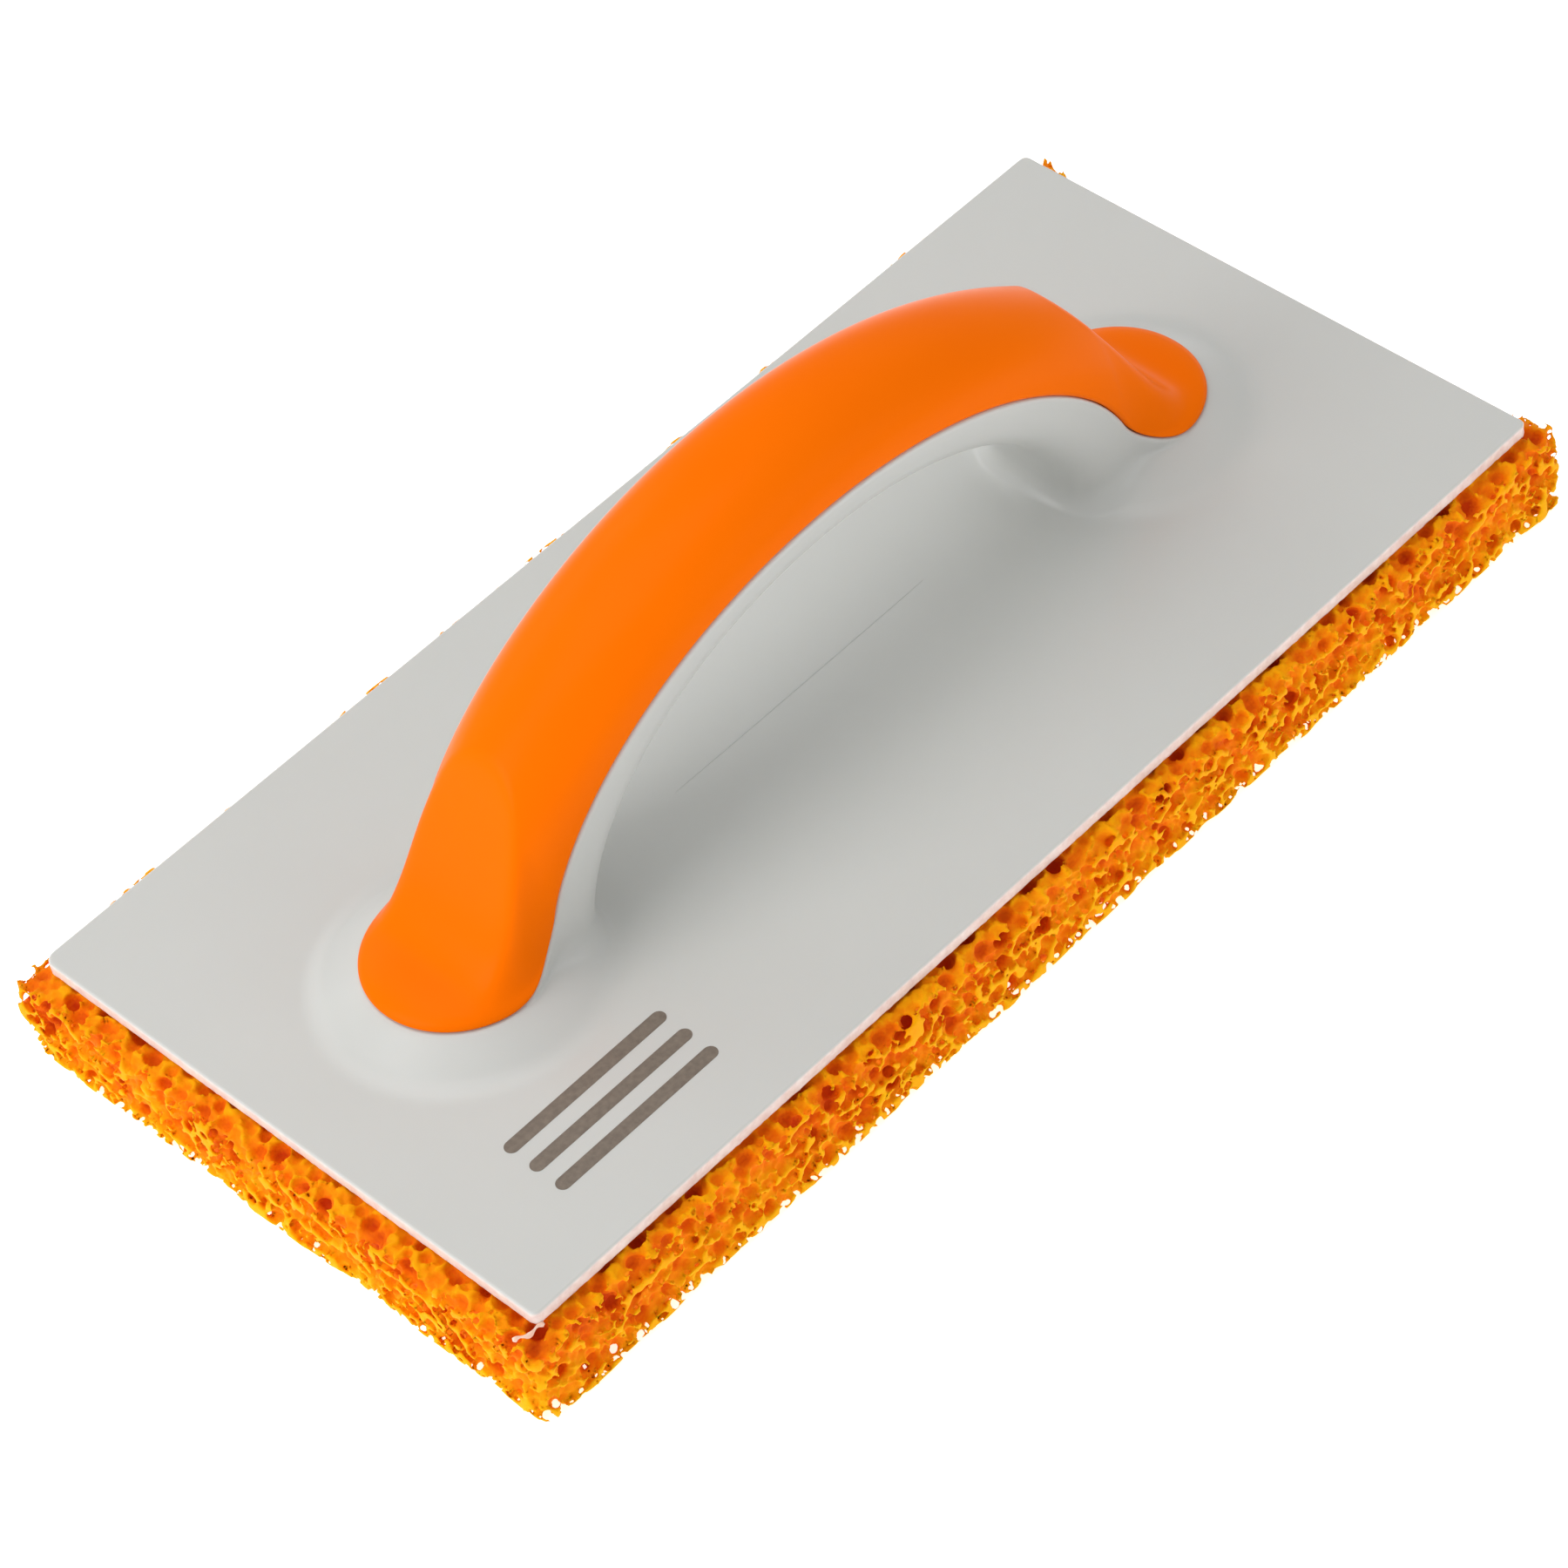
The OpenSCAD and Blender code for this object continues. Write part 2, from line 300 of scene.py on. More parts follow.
def mirrored(points, quads, axis):
    """The mesh with its mirror image across axis = 0, sharing the points on that plane."""
    on = np.abs(points[:, axis]) < 0.01
    points = points.copy()
    points[on, axis] = 0
    other = np.where(on, np.arange(len(points)), len(points) + np.cumsum(~on) - 1)
    image = points[~on].copy()
    image[:, axis] *= -1
    return np.concatenate([points, image]), np.concatenate([quads, other[quads][:, ::-1]])


def border(points, quads):
    """The closed loop along the free edges of these quads, from the one farthest out in x."""
    edges = np.concatenate([quads[:, [i, (i + 1) % 4]] for i in range(4)]).astype(np.int64)
    size = edges.max() + 1
    free = edges[~np.isin(edges[:, 0] * size + edges[:, 1], edges[:, 1] * size + edges[:, 0])]
    follow = dict(free.tolist())
    start = int(free[np.argmax(np.abs(points[free[:, 0], 0])), 0])
    loop = [start]
    while follow[loop[-1]] != start:
        loop.append(follow[loop[-1]])
    return loop


def flat_patch(points, quads, z, half_x, half_y):
    """Splits off the flat quads at this height inside a rectangle, as one many-sided face."""
    corner = points[quads]
    chosen = (
        (np.abs(corner[..., 2] - z) < 0.01).all(1)
        & (np.abs(corner[..., 0]) < half_x).all(1)
        & (np.abs(corner[..., 1]) < half_y).all(1)
    )
    return quads[~chosen], border(points, quads[chosen])


def slope_distance(g, step):
    """Turns a shape function into a rough distance, by its own steepness."""
    steep = sum(part**2 for part in np.gradient(g, step))
    return g / np.sqrt(steep + 1e-9)


# ---------------------------------------------------------------- the handle's cover
def build_cover():
    """The cover's shell, from stations along x that are closer together towards the toes."""
    stations, arc, tip_gap = 460, 96, 0.004
    turn = np.linspace(-math.pi / 2, math.pi / 2, stations + 1)
    x = ((FOOT_X + TOE_R - tip_gap) * np.sin(turn))[:, None]
    y = np.cos(np.linspace(0, math.pi, arc + 1))[None, :] * seam_y(x)
    x = np.broadcast_to(x, y.shape)
    height = soften_toes(cover_z(x, y) - seam_z(x), x)

    # The lowest part leans inwards, as a rounded rim, by at most this share of the way to the middle
    most_pull = 0.9
    past = np.sign(x) * np.maximum(0, np.abs(x) - FOOT_X)
    reach = np.maximum(np.hypot(past, y), 1e-6)
    pull = RIM_ROUND * (1 - root(1 - (1 - unit(height / RIM_ROUND)) ** 2)) / reach
    pull = np.minimum(pull, most_pull)
    z = seam_z(x) + height + SEAM_GAP + PLATE_TOP
    points = np.stack([x - past * pull, y * (1 - pull), z], -1).reshape(-1, 3)

    columns = arc + 1
    i, j = np.meshgrid(np.arange(stations), np.arange(arc), indexing="ij")
    a = i * columns + j
    quads = np.stack([a, a + 1, a + columns + 1, a + columns], -1).reshape(-1, 4)
    left = np.arange(stations) * columns
    under = np.stack([left, left + columns, left + columns + arc, left + arc], -1)
    first = list(range(arc, -1, -1))
    last = [stations * columns + j for j in range(columns)]
    obj, _ = make_object("handle_cover_shell", points, np.concatenate([quads, under]), [first, last])
    return obj


# ---------------------------------------------------------------- the base moulding
def arch_field(x, y, z, step):
    """The grip's lower half and the legs: inside the seam and outside the elliptical opening."""
    top = seam_z(x)
    opening = 1 - np.sqrt((x / ARCH_A) ** 2 + (np.maximum(z, 0) / ARCH_H) ** 2) + 0 * y
    opening = slope_distance(opening, step)
    side = np.abs(y) - seam_y(x)
    steep = np.gradient(top, step, axis=0)
    lid = (z - top) / np.sqrt(1 + steep**2)
    beam = soft_max(soft_max(side, opening, BELLY_BLEND), lid, LID_BLEND)
    return np.maximum(beam, np.abs(x) - (FOOT_X + 5))


def flare_field(x, y, z):
    """A shallow cone round each foot, from the toe's rim down to the plate."""
    reach = np.hypot(np.abs(x) - FOOT_X, y)
    slope = TOE_H / FLARE_RUN
    cone = (z - slope * (TOE_R + FLARE_RUN - reach)) / math.hypot(1, slope)
    return soft_max(cone, z - TOE_H, SMALL_BLEND)


def base_field(x, y, z, step):
    """Arch, flares and the plate's top, with wide fillets except under the toes."""
    arch = arch_field(x, y, z, step)
    flare = flare_field(x, y, z)
    toeward = smooth((np.abs(x) - TOE_START) / LEAVE_INSET)
    legs = soft_min(arch, z, mix(HEEL_BLEND, SMALL_BLEND, toeward))
    feet = soft_min(arch, flare, mix(HEEL_BLEND + 1, SMALL_BLEND, toeward))
    ring = soft_min(flare, z + 0 * flare, FLARE_EDGE)
    return np.minimum(np.minimum(legs, feet), ring)


def meshed_middle():
    """Points and quads of the plate's middle with arch and feet, and its flat part under the arch."""
    step = 0.45
    x = (np.arange(int(MIDDLE_X / step)) - 0.5)[:, None, None] * step
    y = (np.arange(int(MIDDLE_Y / step)) - 0.5)[None, :, None] * step
    z = (np.arange(int((SEAM_H + 3) / step)) - 2.5)[None, None, :] * step
    field = base_field(x, y, z, step).astype(np.float32)
    points, quads = surface_nets(field, (-step / 2, -step / 2, -2.5 * step), step)
    points, quads = mirrored(points, quads, 0)
    points, quads = mirrored(points, quads, 1)
    quads, flat = flat_patch(points, quads, 0, FLAT_X, FLAT_Y)
    return points, quads, flat


def corner_stations(corner, turns):
    """Centre, radius and direction of points round a corner; turns go from -1 to 1 over its quarter."""
    sx, sy, r = corner
    middle = math.atan2(sy, sx)
    place = (sx * (base_high[0] - r), sy * (base_high[1] - r), r)
    return [(*place, middle + t * math.pi / 4) for t in turns]


def plate_outline():
    """Such stations once round the plate, and which one is the middle of each corner."""
    outline, starts = [], []
    for k, corner in enumerate(PLATE_CORNERS):
        here = corner_stations(corner, np.linspace(0, 1, 5))
        ahead = corner_stations(PLATE_CORNERS[(k + 1) % 4], np.linspace(-1, -0.25, 4))
        a, b = np.array(here[-1]), np.array(ahead[0])
        b[3] = a[3]
        count = int(math.hypot(*(b - a)[:2]) / PLATE_EDGE_PITCH)
        starts.append(len(outline))
        outline += here
        outline += [mix(a, b, t) for t in np.linspace(0, 1, count)[1:-1]]
        outline += ahead
    return np.array(outline), starts


def plate_rings():
    """Closed rings of points down the plate's edge, and where each corner is in them."""
    outline, starts = plate_outline()
    cx, cy, r, a = outline.T

    # Inset and height of each ring: the rounded top edge, the side and a small break at the bottom
    turns = np.radians([0, 25, 50, 75, 90])
    levels = [(PLATE_EDGE_R * (1 - math.sin(t)), PLATE_EDGE_R * (math.cos(t) - 1)) for t in turns]
    levels += [(0, -1.1), (0, -1.6), (0, -2.1), (0, -2.6), (0.05, -2.85), (0.25, -PLATE_T)]
    uneven = rng.normal(0, 1, (len(levels), len(outline)))
    rings = []
    for (inset, z), bumps in zip(levels, uneven):
        out = r - inset + PLATE_EDGE_WOBBLE * bumps * smooth(-z)
        rings.append(np.stack([cx + out * np.cos(a), cy + out * np.sin(a), np.full(len(a), z)], 1))
    return rings, starts


def border_panels(points, inner_loop, first, around, starts):
    """Four flat faces from the meshed middle out to the plate's edge, one for each side."""
    along = points[inner_loop][:, :2]
    turns = [int(np.argmax(along @ np.array(corner[:2]))) for corner in PLATE_CORNERS]
    panels = []
    for k in range(4):
        start, stop = starts[k], starts[(k + 1) % 4] or around
        outer = [first + m % around for m in range(start, stop + 1)]
        start, stop = turns[k], turns[(k + 1) % 4]
        if stop <= start:
            stop += len(inner_loop)
        inner = [inner_loop[m % len(inner_loop)] for m in range(start, stop + 1)]
        panels.append(outer + inner[::-1])
    return panels


def build_base():
    points, quads, flat = meshed_middle()
    inner_loop = border(points, quads)
    rings, starts = plate_rings()
    levels, around = len(rings), len(rings[0])
    first = len(points)
    points = np.concatenate([points, *rings])
    i, j = np.meshgrid(np.arange(levels - 1), np.arange(around), indexing="ij")
    a = first + i * around + j
    b = first + i * around + (j + 1) % around
    edge = np.stack([a, a + around, b + around, b], -1).reshape(-1, 4)
    underside = [first + (levels - 1) * around + j for j in range(around)][::-1]
    loops = [flat, *border_panels(points, inner_loop, first, around, starts), underside]
    points[:, 2] += PLATE_TOP
    obj, _ = make_object("base_moulding", points, np.concatenate([quads, edge]), loops)
    return obj


# ---------------------------------------------------------------- the sponge
def grid_noise(axes, cell):
    """Smooth seeded noise on the grid, about -1 to 1, with the given cell size in mm."""
    weights = []
    for axis in axes:
        t = (axis - axis[0]) / cell
        low = np.floor(t).astype(int)
        part = smooth(t - low)
        w = np.zeros((len(axis), low.max() + 2))
        w[np.arange(len(axis)), low] = 1 - part
        w[np.arange(len(axis)), low + 1] += part
        weights.append(w)
    values = rng.uniform(-1, 1, [w.shape[1] for w in weights])
    return np.einsum("ia,jb,kc,abc->ijk", *weights, values, optimize=True).astype(np.float32)


def end_inset(y):
    """How far the middle of the +X end stands back from its corners."""
    return END_INSET * smooth((END_INSET_Y - np.abs(y)) / INSET_RUN)


def side_inset(x):
    """How far the middle of the +Y side stands back from its corners."""
    return SIDE_INSET * smooth((SIDE_INSET_X - np.abs(x)) / INSET_RUN)


def pit_faces():
    """Each face's length and height, and the place of a point along, up and deep in it."""
    long, short, rim = 2 * SPONGE_X, 2 * SPONGE_Y, PIT_RIM
    return [
        (long, SPONGE_T, lambda u, v, d: (u - SPONGE_X, d - SPONGE_Y, v)),
        (long, SPONGE_T, lambda u, v, d: (u - SPONGE_X, SPONGE_Y - d, v)),
        (short, SPONGE_T, lambda u, v, d: (d - SPONGE_X, u - SPONGE_Y, v)),
        (short, SPONGE_T, lambda u, v, d: (SPONGE_X - d, u - SPONGE_Y, v)),
        (long, rim, lambda u, v, d: (u - SPONGE_X, v - SPONGE_Y, SPONGE_T - d)),
        (long, rim, lambda u, v, d: (u - SPONGE_X, SPONGE_Y - v, SPONGE_T - d)),
        (short, rim, lambda u, v, d: (v - SPONGE_X, u - SPONGE_Y, SPONGE_T - d)),
        (short, rim, lambda u, v, d: (SPONGE_X - v, u - SPONGE_Y, SPONGE_T - d)),
        (long, short, lambda u, v, d: (u - SPONGE_X, v - SPONGE_Y, d)),
    ]


def sponge_pits():
    """Centres and radii of pits over the sides, the rim of the top and the working face."""
    # Spacing, least and most radius, least and most depth in radii, and how many of the faces
    layers = [
        (2.7, 1.1, 1.7, -0.45, 0.3, 9),
        (2.2, 0.6, 1.0, -0.4, 0.6, 9),
        (7.0, 1.3, 2.1, 0.2, 0.9, 9),
        (1.6, 0.35, 0.6, 0.0, 1.0, 8),
    ]
    found = []
    for spacing, small, large, shallow, deep, count in layers:
        for along, up, place in pit_faces()[:count]:
            u = np.arange(spacing / 2, along, spacing)
            v = np.arange(spacing / 2, up, spacing)
            u, v = np.meshgrid(u, v)
            u = u + spacing * (np.floor(v / spacing) % 2) / 2
            u, v = (w.ravel() + rng.uniform(-0.4, 0.4, w.size) * spacing for w in (u, v))
            r = rng.uniform(small, large, u.size)
            x, y, z = place(u, v, rng.uniform(shallow, deep, u.size) * r)
            x = x - (x > SPONGE_X - PIT_RIM) * end_inset(y)
            y = y - (y > SPONGE_Y - PIT_RIM) * side_inset(x)
            inward = np.maximum(0, np.minimum(SPONGE_X - np.abs(x), SPONGE_Y - np.abs(y)))
            r = np.minimum(r, PIT_LEAST_R + PIT_GROWTH * np.hypot(inward, z))
            found.append(np.stack([x, y, z, r], 1))
    return np.concatenate(found)


def uncut_block(axes):
    """Distance to the block before its cells are cut: wavy, with one bulge at the -X +Y corner."""
    x, y, z = np.meshgrid(*axes, indexing="ij", sparse=True)
    inner = SPONGE_CORNER_R - SPONGE_PROUD
    qx = np.abs(x) - SPONGE_X + inner + (x > 0) * end_inset(y)
    qy = np.abs(y) - SPONGE_Y + inner + (y > 0) * side_inset(x)
    beyond = np.hypot(np.maximum(qx, 0), np.maximum(qy, 0))
    block = beyond + np.minimum(np.maximum(qx, qy), 0) - SPONGE_CORNER_R + 0 * z
    for height, length in WAVES:
        block = block + height * grid_noise(axes, length)
    bulge_height, bulge_reach, bulge_inset, bulge_z = 1.2, 4.0, 2.0, 13.0
    from_bulge = (x + SPONGE_X) ** 2 + (y - SPONGE_Y + bulge_inset) ** 2 + (z - bulge_z) ** 2
    block = block - bulge_height * np.exp(-from_bulge / (2 * bulge_reach**2))
    height, length = FACE_WAVE
    face = -z + height * grid_noise(axes, length)
    return soft_max(soft_max(block, face, FACE_BLEND), z - SPONGE_T, TOP_BLEND)


def cut_pits(field, axes, pits):
    """Takes each pit's ball out of the field, in the small box round it."""
    for *centre, r in pits:
        reach = r + PIT_MARGIN
        near = [slice(*np.searchsorted(axis, (c - reach, c + reach))) for axis, c in zip(axes, centre)]
        dx, dy, dz = (axis[part] - c for axis, part, c in zip(axes, near, centre))
        away = np.sqrt(dx[:, None, None] ** 2 + dy[None, :, None] ** 2 + dz[None, None, :] ** 2)
        part = field[tuple(near)]
        np.maximum(part, r - away, out=part)


def build_sponge():
    """The cut sponge; each point keeps how deep it lies under the uncut skin, for the painted shade in the
    foam's cells.
    """
    step, margin = SPONGE_STEP, SPONGE_MARGIN
    axes = (
        np.arange(-SPONGE_X - margin, SPONGE_X + margin, step),
        np.arange(-SPONGE_Y - margin, SPONGE_Y + margin, step),
        np.arange(-1.35 * step, SPONGE_T + 2 * step, step),
    )
    block = uncut_block(axes)
    field = block.astype(np.float32)
    depth = (-block).astype(np.float32)
    cut_pits(field, axes, sponge_pits())
    origin = np.array([axis[0] for axis in axes])
    points, quads = surface_nets(field, origin, step)
    cell = ((points - origin) / step).round().astype(int)
    cell = np.clip(cell, 0, np.array(field.shape) - 1)
    pit = depth[tuple(cell.T)]
    quads, top = flat_patch(points, quads, SPONGE_T, SPONGE_X - TOP_RIM, SPONGE_Y - TOP_RIM)
    obj, used = make_object("sponge_block", points + [0, 0, sponge_low[2]], quads, [top])
    mark = obj.data.attributes.new("pit_depth", "FLOAT", "POINT")
    mark.data.foreach_set("value", pit[used].astype(np.float32))
    return obj


# ---------------------------------------------------------------- small pieces
def build_mark():
    """Three plain printed bars on the plate."""
    half, r = (BAR_LENGTH - BAR_WIDTH) / 2, BAR_WIDTH / 2
    turns = np.linspace(-math.pi / 2, math.pi / 2, 13)
    ring = [(end * (half + r * math.cos(a)), end * r * math.sin(a)) for end in (1, -1) for a in turns]
    n = len(ring)
    points, quads, loops = [], [], []
    for row in (-1, 0, 1):
        first = len(points)
        for level in (0.0, BAR_HEIGHT):
            for px, py in ring:
                points.append((BARS_X + px, BARS_Y + row * BAR_PITCH + py, PLATE_TOP + level))
        below = [first + i for i in range(n)]
        above = [first + n + i for i in range(n)]
        quads += [[below[i], below[(i + 1) % n], above[(i + 1) % n], above[i]] for i in range(n)]
        loops += [above, below[::-1]]
    obj, _ = make_object("printed_bars", points, np.array(quads), loops)
    for face in obj.data.polygons:
        face.use_smooth = False
    return obj


def swept(name, centres, radii, sides=10, flat=1.0):
    """A closed tube through these centres; its height can be flattened."""
    centres = np.asarray(centres, float)
    ahead = np.gradient(centres, axis=0)
    ahead /= np.linalg.norm(ahead, axis=1)[:, None]
    across = np.cross(ahead, [0, 0, 1.0])
    across /= np.linalg.norm(across, axis=1)[:, None]
    upward = np.cross(across, ahead)
    turn = np.linspace(0, 2 * math.pi, sides, endpoint=False)
    radii = np.asarray(radii, float)[:, None, None]
    ring = across[:, None] * np.cos(turn)[:, None] + flat * upward[:, None] * np.sin(turn)[:, None]
    points = (centres[:, None] + radii * ring).reshape(-1, 3)
    i, j = np.meshgrid(np.arange(len(centres) - 1), np.arange(sides), indexing="ij")
    a = (i * sides + j).ravel()
    b = (i * sides + (j + 1) % sides).ravel()
    quads = np.stack([a, b, b + sides, a + sides], 1)
    last = (len(centres) - 1) * sides
    obj, _ = make_object(name, points, quads, [range(sides)[::-1], range(last, last + sides)])
    return obj


def build_mould_line():
    """The faint raised line along the plate under the arch."""
    x = np.linspace(-MOULD_LINE_HALF, MOULD_LINE_HALF, 60)
    centres = np.stack([x, 0 * x, np.full(len(x), PLATE_TOP)], 1)
    radii = 0.02 + 0.2 * root(1 - (x / MOULD_LINE_HALF) ** 2)
    return swept("mould_line", centres, radii, flat=0.6)


def build_glue_string():
    """A string of squeezed-out glue that hangs at the near corner of the plate."""
    corner = np.array([base_low[0], base_low[1], PLATE_TOP - PLATE_T])
    start, end = np.array([1.5, -0.4, -0.2]), np.array([-4.8, 0.9, 0.1])
    sway = 0.4 * np.array([0.3, 0.7, 0.4])
    t = np.linspace(0, 1, 24)[:, None]
    path = corner + mix(start, end, t) + sway * np.sin(9 * t)
    radii = 0.38 + 0.16 * np.sin(14 * t[:, 0] + 0.6)
    tip_r = 0.06
    radii[[0, -1]] = tip_r
    return swept("glue_string", path, radii)


# ---------------------------------------------------------------- materials
def linear(r, g, b):
    """An 8-bit screen colour as a linear one."""
    part = np.array([r, g, b]) / 255
    return tuple(np.where(part < 0.04045, part / 12.92, ((part + 0.055) / 1.055) ** 2.4)) + (1.0,)


def new_material(name):
    material = bpy.data.materials.new(name)
    material.use_nodes = True
    tree = material.node_tree
    return material, tree, tree.nodes["Principled BSDF"]


def add(tree, kind, links=None, **values):
    """A node with its settings or socket values set, and its inputs linked."""
    node = tree.nodes.new(kind)
    for name, value in values.items():
        if hasattr(node, name):
            setattr(node, name, value)
        else:
            node.inputs[name].default_value = value
    for name, source in (links or {}).items():
        tree.links.new(source, node.inputs[name])
    return node


def place_on_object(tree):
    return add(tree, "ShaderNodeTexCoord").outputs["Object"]


def height_on_object(tree):
    return add(tree, "ShaderNodeSeparateXYZ", {"Vector": place_on_object(tree)}).outputs["Z"]


def noise(tree, scale, detail, rough=0.55):
    """Noise by place on the object; the scale is in features per metre."""
    links = {"Vector": place_on_object(tree)}
    made = add(tree, "ShaderNodeTexNoise", links, Scale=scale, Detail=detail, Roughness=rough)
    return made.outputs["Fac"]


def ramp(tree, source, stops):
    """A colour for each value of the source."""
    node = add(tree, "ShaderNodeValToRGB", {"Fac": source})
    bands = node.color_ramp.elements
    while len(bands) < len(stops):
        bands.new(0.5)
    for band, (place, colour) in zip(bands, stops):
        band.position = place
        band.color = colour
    return node.outputs["Color"]


def span(tree, source, low, high, to_low, to_high):
    """The source, brought from one range to another."""
    node = add(tree, "ShaderNodeMapRange", {"Value": source})
    for name, value in zip(("From Min", "From Max", "To Min", "To Max"), (low, high, to_low, to_high)):
        node.inputs[name].default_value = value
    return node.outputs["Result"]


def bump(tree, shader, source, strength, distance):
    node = add(tree, "ShaderNodeBump", {"Height": source}, Strength=strength, Distance=distance)
    tree.links.new(node.outputs["Normal"], shader.inputs["Normal"])


def paint(tree, shader, source, stops):
    tree.links.new(ramp(tree, source, stops), shader.inputs["Base Color"])


def glow_through(shader, weight, radius):
    """Light that spreads a little under the surface; the radius is in metres."""
    shader.inputs["Subsurface Weight"].default_value = weight
    shader.inputs["Subsurface Radius"].default_value = radius
    shader.inputs["Subsurface Scale"].default_value = 1.0


def moulded_plastic(name, dark, light, rough):
    """Satin moulded plastic: faint cloudy colour, uneven gloss and a fine moulded grain."""
    material, tree, shader = new_material(name)
    paint(tree, shader, noise(tree, 38, 4), [(0.2, dark), (0.8, light)])
    patch = noise(tree, 60, 2, 0.4)
    tree.links.new(span(tree, patch, 0.0, 1.0, rough - 0.02, rough + 0.02), shader.inputs["Roughness"])
    bump(tree, shader, noise(tree, 2200, 1), 0.02, 0.00005)
    return material, tree, shader


def orange_plastic():
    dark, light = (0.985, 0.162, 0.0, 1), (0.995, 0.172, 0.0, 1)
    material, _, shader = moulded_plastic("orange_moulded", dark, light, 0.3)
    shader.inputs["Specular IOR Level"].default_value = 0.025
    return material


def grey_plastic():
    """Grey plastic, with painted bounce light and glow that make the plate's edge below its top paler and
    pinker.
    """
    dark, light = (0.595, 0.6, 0.575, 1), (0.61, 0.615, 0.59, 1)
    material, tree, shader = moulded_plastic("grey_moulded", dark, light, 0.31)
    face = shader.inputs["Base Color"].links[0].from_socket
    top = PLATE_TOP * MM
    edge = span(tree, height_on_object(tree), top - 0.0005, top - 0.0001, 1.0, 0.0)
    # Painted bounce light and glow: a paler, pinker colour on the plate's edge below its top
    pale = ramp(tree, noise(tree, 700, 4), [(0.3, linear(228, 208, 202)), (0.7, linear(244, 232, 226))])
    bounce_tinted = add(tree, "ShaderNodeMix", data_type="RGBA")

    # Inputs 6 and 7 and output 2 are this node's colour sockets
    tree.links.new(edge, bounce_tinted.inputs["Factor"])
    tree.links.new(face, bounce_tinted.inputs[6])
    tree.links.new(pale, bounce_tinted.inputs[7])
    tree.links.new(bounce_tinted.outputs[2], shader.inputs["Base Color"])
    glow_through(shader, 0.1, (0.002, 0.0015, 0.001))
    return material


def sponge_foam():
    """Foam that is amber on its skin, with painted shade that makes it redder deep in its cells and up
    under the plate, and painted bounce light that makes it lighter low down.
    """
    material, tree, shader = new_material("cut_foam")
    depth = add(tree, "ShaderNodeAttribute", attribute_name="pit_depth").outputs["Fac"]
    mottled = span(tree, noise(tree, 260, 4), 0.3, 0.7, 0.0, 0.1)
    # Painted light by height: lighter low down as painted bounce from the floor, redder near the top as
    # painted shade under the plate
    painted_height_light = span(tree, height_on_object(tree), 0.004, 0.018, -0.1, 0.08)
    # The random mottle plus the painted light by height
    mottle_and_painted_height_light = add(tree, "ShaderNodeMath", {0: painted_height_light, 1: mottled}, operation="ADD").outputs[0]
    # Painted shade: the deeper a point lies in a cell, the redder and darker it is painted
    deep = span(tree, depth, 0.0, 2.9, 0.0, 0.9)
    painted_light_and_mottle = add(tree, "ShaderNodeMath", {0: deep, 1: mottle_and_painted_height_light}, operation="ADD").outputs[0]
    # Painted light and shade by depth and height, added to a random mottle
    paint(tree, shader, painted_light_and_mottle, [
        (0.0, linear(249, 178, 0)),
        (0.16, linear(249, 165, 0)),
        (0.34, linear(248, 148, 0)),
        (0.62, linear(241, 114, 0)),
        (1.0, linear(199, 59, 0)),
    ])
    shader.inputs["Roughness"].default_value = 0.7
    shader.inputs["Specular IOR Level"].default_value = 0.08
    glow_through(shader, 0.12, (0.0015, 0.0006, 0.0002))
    bump(tree, shader, noise(tree, 1500, 4), 0.35, 0.0003)
    return material


def printed_ink():
    material, tree, shader = new_material("printed_ink")
    paint(tree, shader, noise(tree, 900, 4), [(0.3, linear(108, 97, 86)), (0.72, linear(126, 115, 102))])
    shader.inputs["Roughness"].default_value = 0.5
    bump(tree, shader, noise(tree, 3000, 3), 0.1, 0.0001)
    return material


def dried_glue():
    material, tree, shader = new_material("dried_glue")
    paint(tree, shader, noise(tree, 300, 3), [(0.3, linear(236, 190, 170)), (0.7, linear(246, 214, 198))])
    shader.inputs["Roughness"].default_value = 0.25
    glow_through(shader, 0.5, (0.002, 0.001, 0.0008))
    bump(tree, shader, noise(tree, 700, 3), 0.3, 0.0003)
    return material


def zinc_steel():
    material, tree, shader = new_material("zinc_steel")
    paint(tree, shader, noise(tree, 500, 4), [(0.3, linear(186, 188, 190)), (0.7, linear(214, 214, 212))])
    tree.links.new(span(tree, noise(tree, 1800, 3), 0.3, 0.7, 0.25, 0.4), shader.inputs["Roughness"])
    shader.inputs["Metallic"].default_value = 1.0
    return material


def floor_paper():
    material, tree, shader = new_material("floor_paper")
    paint(tree, shader, noise(tree, 6, 2), [(0.3, (0.9, 0.9, 0.9, 1)), (0.7, (0.92, 0.92, 0.92, 1))])
    shader.inputs["Roughness"].default_value = 0.9
    shader.inputs["Emission Color"].default_value = (1, 1, 1, 1)
    shader.inputs["Emission Strength"].default_value = 0.7
    return material


# ---------------------------------------------------------------- stage, lights and camera, in metres
def build_floor():
    """A wide pale floor, just under the sponge's lowest cells."""
    half = 3.0
    low = sponge_low[2] * MM - 0.0004
    corners = [(-half, -half, low), (half, -half, low), (half, half, low), (-half, half, low)]
    mesh = bpy.data.meshes.new("floor")
    mesh.from_pydata(corners, [], [(0, 1, 2, 3)])
    obj = bpy.data.objects.new("floor", mesh)
    bpy.context.scene.collection.objects.link(obj)
    obj.data.materials.append(floor_paper())


def area_light(name, place, size, power):
    """A soft light that faces the middle of the object."""
    data = bpy.data.lights.new(name, "AREA")
    data.shape = "RECTANGLE"
    data.size, data.size_y = size
    data.energy = power
    obj = bpy.data.objects.new(name, data)
    obj.location = place
    facing = Vector((0, 0, 0.03)) - Vector(place)
    obj.rotation_euler = facing.to_track_quat("-Z", "Y").to_euler()
    bpy.context.scene.collection.objects.link(obj)


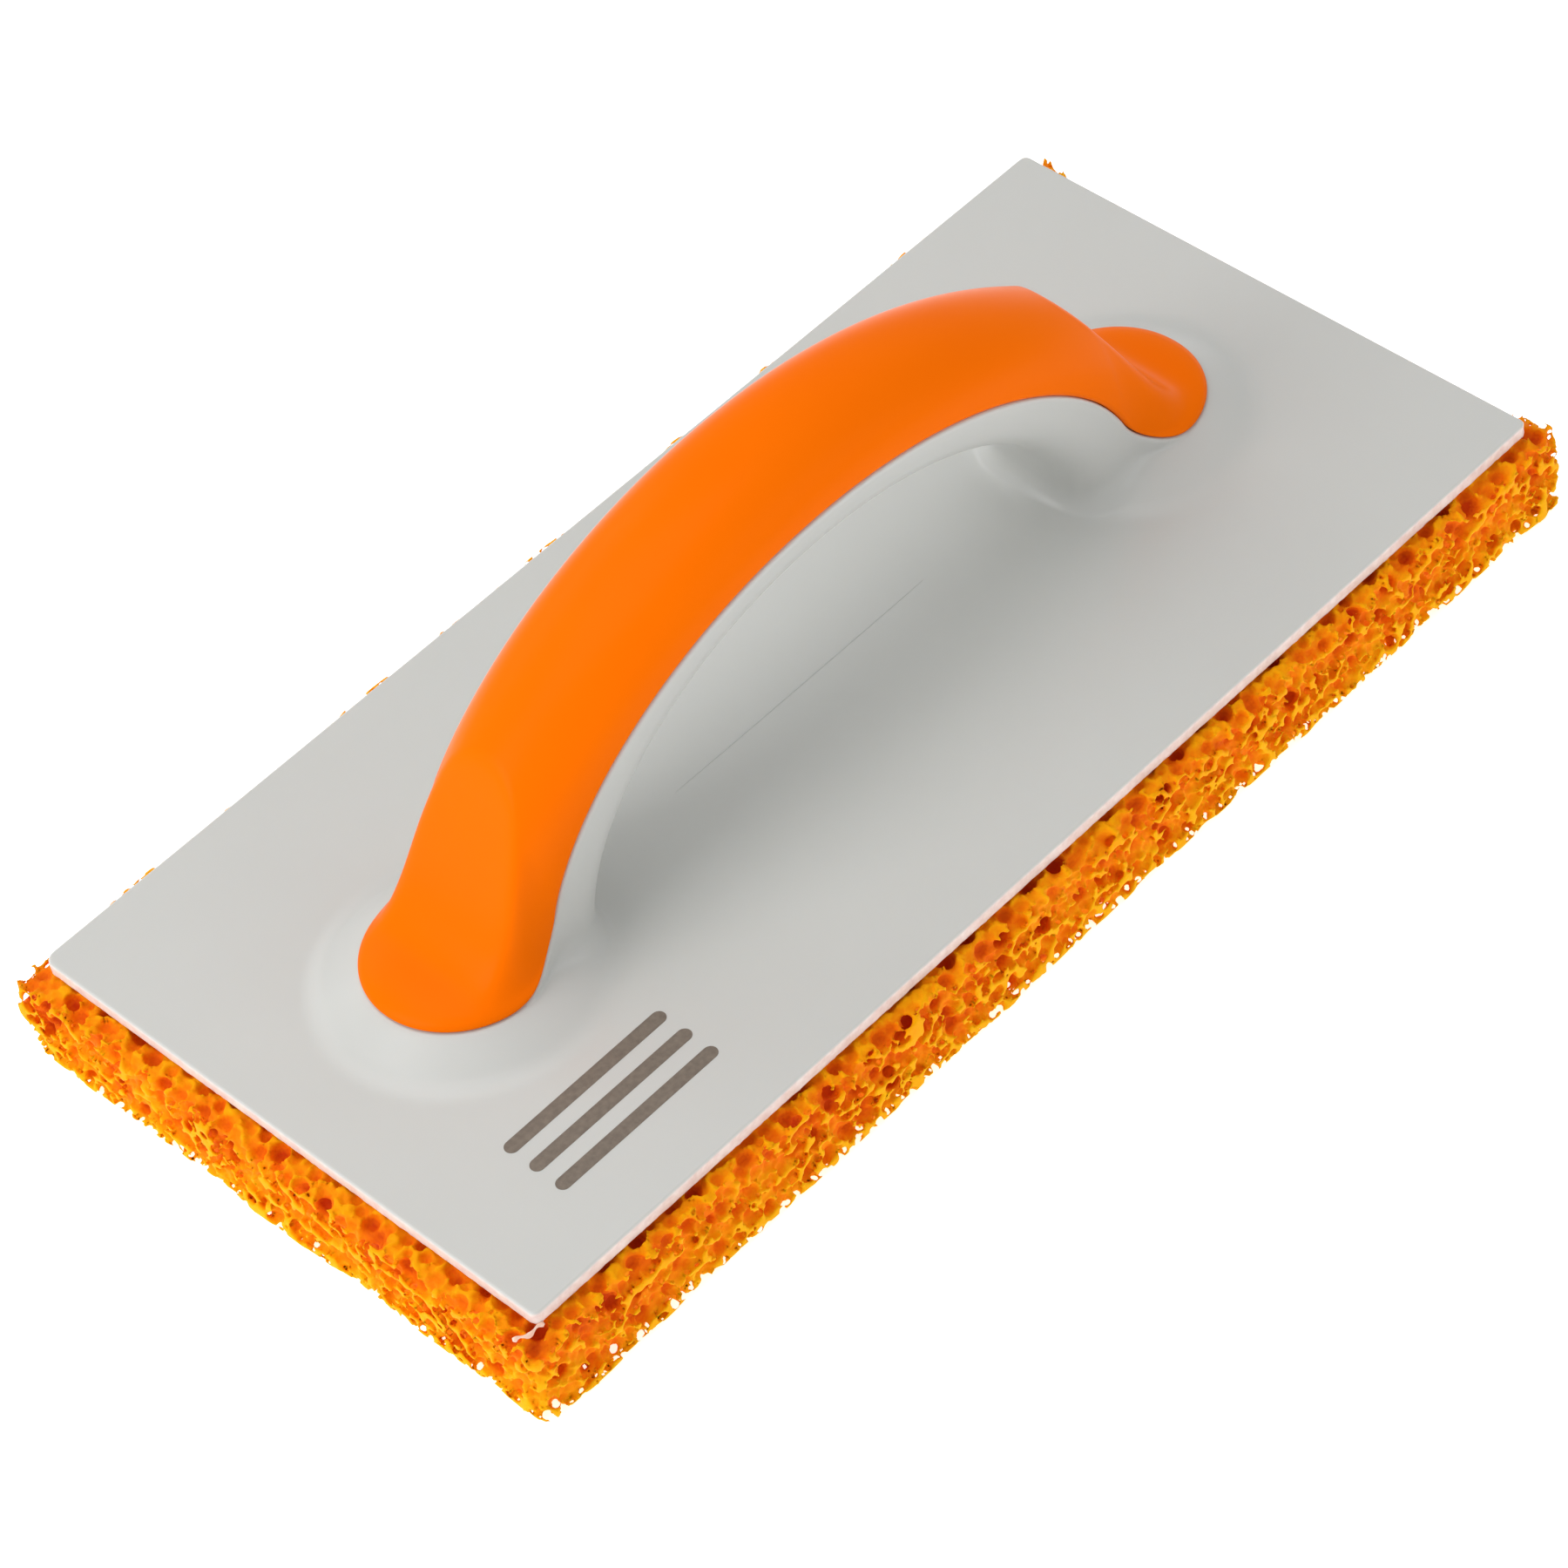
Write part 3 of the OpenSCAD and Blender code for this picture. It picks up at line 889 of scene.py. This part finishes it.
def light_scene():
    world = bpy.data.worlds.new("studio")
    bpy.context.scene.world = world
    world.use_nodes = True
    back = world.node_tree.nodes["Background"]
    back.inputs["Color"].default_value = (1, 1, 1, 1)
    back.inputs["Strength"].default_value = 0.5
    area_light("overhead", (-0.2, 0.25, 1.3), (1.0, 1.0), 5.0)
    area_light("left", (-1.15, 0.25, 0.75), (0.8, 0.8), 6.8)
    area_light("back", (-0.1, 1.3, 0.9), (0.9, 0.7), 2.4)
    area_light("front", (0.6, -1.1, 0.7), (1.0, 0.8), 2.0)
    bpy.context.scene.view_settings.view_transform = "Standard"


def place_camera():
    """A long lens above the near left corner, turned a little about its own axis."""
    azimuth, elevation, roll = math.radians(-38.547), math.radians(47.582), math.radians(-10.469)
    distance, aside, above = 1.03742, -0.00316, -0.0186
    back = Vector((
        math.sin(azimuth) * math.cos(elevation),
        -math.cos(azimuth) * math.cos(elevation),
        math.sin(elevation),
    ))
    level = Vector((0, 0, 1)).cross(back).normalized()
    upright = back.cross(level)
    right = level * math.cos(roll) + upright * math.sin(roll)
    up = upright * math.cos(roll) - level * math.sin(roll)
    data = bpy.data.cameras.new("camera")
    data.sensor_width = 36
    data.lens = 127.05
    data.clip_start, data.clip_end = 0.05, 20
    obj = bpy.data.objects.new("camera", data)
    spot = Vector((0, 0, PLATE_TOP * MM)) + back * distance + right * aside + up * above
    turn = Matrix((right, up, back)).transposed().to_4x4()
    obj.matrix_world = Matrix.Translation(spot) @ turn
    bpy.context.scene.collection.objects.link(obj)
    bpy.context.scene.camera = obj


# ---------------------------------------------------------------- the whole
def dress(obj, material, slot, *nodes):
    """Gives a piece its material, puts it under the root body and hides the CAD nodes it stands for; the
    slot argument is not used.
    """
    obj.data.materials.clear()
    obj.data.materials.append(material)
    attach(obj, "root")
    if nodes:
        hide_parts(*nodes)


def dress_node(name, material):
    """Gives a CAD node that stays as it is a better material."""
    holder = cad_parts[name]
    if not holder.material_slots:
        holder.data.materials.append(material)
    for slot in holder.material_slots:
        slot.material = material


place_camera()
light_scene()
build_floor()
dress(build_cover(), orange_plastic(), "orange_plastic", "handle_cover")
grey = grey_plastic()
dress(build_base(), grey, "grey_plastic", "base_plate")
sponge = build_sponge()
dress(sponge, sponge_foam(), "sponge", "sponge_pad")
dress(build_mark(), printed_ink(), "grey_plastic")
dress(build_mould_line(), grey, "grey_plastic")
glue = dried_glue()
dress(build_glue_string(), glue, "glue")
dress_node("glue_layer", glue)
dress_node("cover_screws", zinc_steel())
